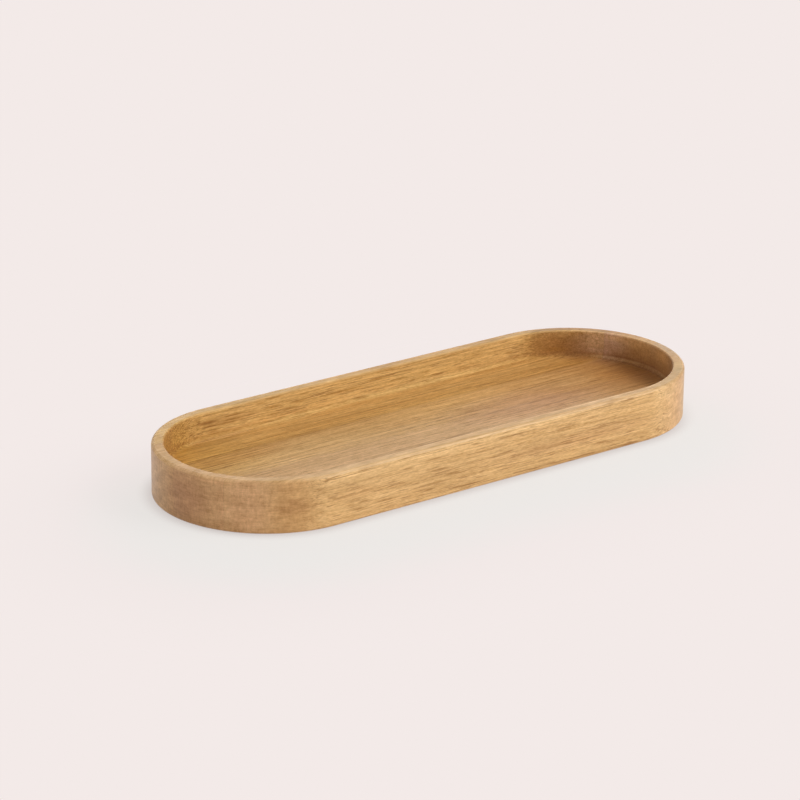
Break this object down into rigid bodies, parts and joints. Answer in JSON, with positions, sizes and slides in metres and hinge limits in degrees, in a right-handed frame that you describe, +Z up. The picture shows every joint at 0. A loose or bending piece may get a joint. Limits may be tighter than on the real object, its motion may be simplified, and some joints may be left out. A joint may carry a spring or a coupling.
{
  "type": "pepper mill tray",
  "caption": "Long wooden tray with round ends, upright walls and a flat recessed floor, milled from edge-glued staves, to stand pepper and salt mills on at table.",
  "frame": {"origin": "middle of the flat underside", "axes": "+X along the length and the grain, +Y to the back, +Z up out of the recess"},
  "size_m": [0.3, 0.11, 0.026],
  "materials": {
    "front_stave_wood": "golden acacia, oiled satin",
    "front_middle_stave_wood": "tan brown acacia, oiled satin",
    "rear_middle_stave_wood": "honey acacia, oiled satin",
    "back_stave_wood": "dark honey acacia, oiled satin"
  },
  "bodies": {
    "root": {"front_stave": "front_stave_wood", "front_middle_stave": "front_middle_stave_wood", "rear_middle_stave": "rear_middle_stave_wood", "back_stave": "back_stave_wood"}
  },
  "joints": []
}
